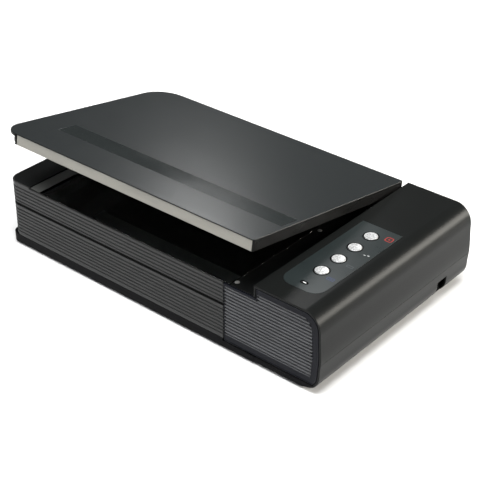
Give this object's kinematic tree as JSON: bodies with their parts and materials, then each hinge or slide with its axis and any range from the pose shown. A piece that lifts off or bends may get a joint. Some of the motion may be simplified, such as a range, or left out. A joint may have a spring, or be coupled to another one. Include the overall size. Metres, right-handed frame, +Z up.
{
  "type": "flatbed scanner",
  "caption": "Flatbed scanner with an edge-to-edge glass, a lid ajar on lifting hinge posts, a control housing with scan buttons and a belt-driven scan carriage.",
  "frame": {"origin": "centre of the footprint on the surface that the feet stand on", "axes": "+X to the right along the long side, towards the control housing; +Y to the back, towards the hinges; +Z up"},
  "size_m": [0.491, 0.291, 0.1586],
  "materials": {
    "tray_plastic": "fine moulded texture",
    "foot_rubber": "matte",
    "frame_plastic": "fine moulded texture",
    "glass": "polished",
    "strip_plastic": "satin",
    "rib_plastic": "satin",
    "trim_plastic": "satin",
    "shell_plastic": "semi-gloss",
    "panel_plastic": "gloss",
    "bezel_plastic": "satin",
    "button_silver": "spun satin",
    "lens_plastic": "smoked lens",
    "circuit_board": "solder mask",
    "component_plastic": "matte",
    "ribbon_plastic": "satin film",
    "port_metal": "tin plated",
    "screw_steel": "zinc plated",
    "bumper_rubber": "matte",
    "bright_steel": "ground",
    "lid_plastic": "fine moulded texture",
    "band_plastic": "satin",
    "pale_strip": "satin",
    "mat_foam": "black foam sheet",
    "inner_plastic": "matte",
    "carriage_plastic": "matte",
    "bush_plastic": "acetal",
    "lamp_diffuser": "frosted",
    "mirror_glass": "front-silvered",
    "belt_rubber": "ribbed",
    "gear_plastic": "acetal",
    "brass_pinion": "machined",
    "motor_steel": "drawn can",
    "zinc_plate": "zinc plated sheet"
  },
  "bodies": {
    "base": {"bottom_tray": "tray_plastic", "rubber_feet": "foot_rubber", "bed_frame": "frame_plastic", "platen_glass": "glass", "reference_strip": "strip_plastic", "front_panel_upper": "rib_plastic", "front_panel_lower": "rib_plastic", "front_trim": "trim_plastic", "housing_cover": "shell_plastic", "housing_base": "shell_plastic", "control_panel": "panel_plastic", "button_bezels": "bezel_plastic", "status_bezel": "bezel_plastic", "status_lens": "lens_plastic", "panel_board": "circuit_board", "panel_switches": "component_plastic", "panel_cable": "ribbon_plastic", "main_board": "circuit_board", "board_chips": "component_plastic", "usb_port": "port_metal", "dc_jack": "component_plastic", "switch_frame": "bezel_plastic", "screws": "screw_steel", "bed_bumpers": "bumper_rubber", "hinge_sockets": "frame_plastic", "guide_rod": "bright_steel", "rod_supports": "inner_plastic", "support_rail": "inner_plastic", "ribbon_cable": "ribbon_plastic", "timing_belt": "belt_rubber", "stepper_motor": "motor_steel", "motor_bracket": "zinc_plate", "idler_bracket": "zinc_plate", "tension_spring": "screw_steel"},
    "scan_button_1": {"button_1": "button_silver"},
    "scan_button_2": {"button_2": "button_silver"},
    "scan_button_3": {"button_3": "button_silver"},
    "scan_button_4": {"button_4": "button_silver"},
    "power_switch": {"power_rocker": "bezel_plastic"},
    "hinge_posts": {"hinge_post_left": "frame_plastic", "hinge_post_right": "frame_plastic"},
    "lid": {"hinge_pins": "bright_steel", "lid_shell": "lid_plastic", "lid_tray": "frame_plastic", "lid_band": "band_plastic", "lid_front_strip": "pale_strip", "lid_end_cap": "bezel_plastic", "lid_mat": "mat_foam", "lid_screws": "screw_steel"},
    "carriage": {"carriage_housing": "carriage_plastic", "carriage_cover": "carriage_plastic", "carriage_bushes": "bush_plastic", "lamp_bar": "lamp_diffuser", "scan_mirrors": "mirror_glass", "lens_barrel": "component_plastic", "ccd_board": "circuit_board"},
    "pulley_gear": {"drive_pulley": "gear_plastic"},
    "idler_gear": {"reduction_gear": "gear_plastic"},
    "pinion": {"motor_pinion": "brass_pinion"},
    "belt_idler": {"idler_pulley": "gear_plastic"}
  },
  "joints": [
    {"name": "post_lift", "type": "slide", "parent": "base", "child": "hinge_posts", "axis": [0, 0, 1], "range_m": [-0.0037, 0.012]},
    {"name": "lid_tilt", "type": "hinge", "parent": "hinge_posts", "child": "lid", "pos_m": [0, 0.133, 0.0997], "axis": [-1, 0, 0], "range_deg": [-10.1, 69.9]},
    {"name": "button_1_press", "type": "slide", "parent": "base", "child": "scan_button_1", "axis": [0, 0, -1], "range_m": [0, 0.0008], "stiffness_N_per_m": 1500, "springref_m": -0.0006},
    {"name": "button_2_press", "type": "slide", "parent": "base", "child": "scan_button_2", "axis": [0, 0, -1], "range_m": [0, 0.0008], "stiffness_N_per_m": 1500, "springref_m": -0.0006},
    {"name": "button_3_press", "type": "slide", "parent": "base", "child": "scan_button_3", "axis": [0, 0, -1], "range_m": [0, 0.0008], "stiffness_N_per_m": 1500, "springref_m": -0.0006},
    {"name": "button_4_press", "type": "slide", "parent": "base", "child": "scan_button_4", "axis": [0, 0, -1], "range_m": [0, 0.0008], "stiffness_N_per_m": 1500, "springref_m": -0.0006},
    {"name": "power_rock", "type": "hinge", "parent": "base", "child": "power_switch", "pos_m": [0.2315, 0.0905, 0.019], "axis": [0, 1, 0], "range_deg": [-14, 0]},
    {"name": "carriage_slide", "type": "slide", "parent": "base", "child": "carriage", "axis": [1, 0, 0], "range_m": [0, 0.308], "deforming": ["ribbon_cable"]},
    {"name": "pulley_spin", "type": "hinge", "parent": "base", "child": "pulley_gear", "pos_m": [0.134, 0.102, 0.028], "axis": [0, 0, 1], "range_deg": [-5, 2550]},
    {"name": "idler_gear_spin", "type": "hinge", "parent": "base", "child": "idler_gear", "pos_m": [0.12924, 0.11977, 0.026], "axis": [0, 0, 1], "range_deg": [-5840, 5]},
    {"name": "motor_spin", "type": "hinge", "parent": "base", "child": "pinion", "pos_m": [0.10864, 0.11688, 0.025], "axis": [0, 0, 1], "range_deg": [-5, 19440]},
    {"name": "belt_idler_spin", "type": "hinge", "parent": "base", "child": "belt_idler", "pos_m": [-0.229, 0.102, 0.034], "axis": [0, 0, 1], "range_deg": [-5, 2550]}
  ],
  "couplings": [
    {"joint": "pulley_spin", "follows": "carriage_slide", "rad_per_m": 143.88},
    {"joint": "belt_idler_spin", "follows": "carriage_slide", "rad_per_m": 143.88},
    {"joint": "idler_gear_spin", "follows": "carriage_slide", "rad_per_m": -328.88},
    {"joint": "motor_spin", "follows": "carriage_slide", "rad_per_m": 1096.3}
  ]
}
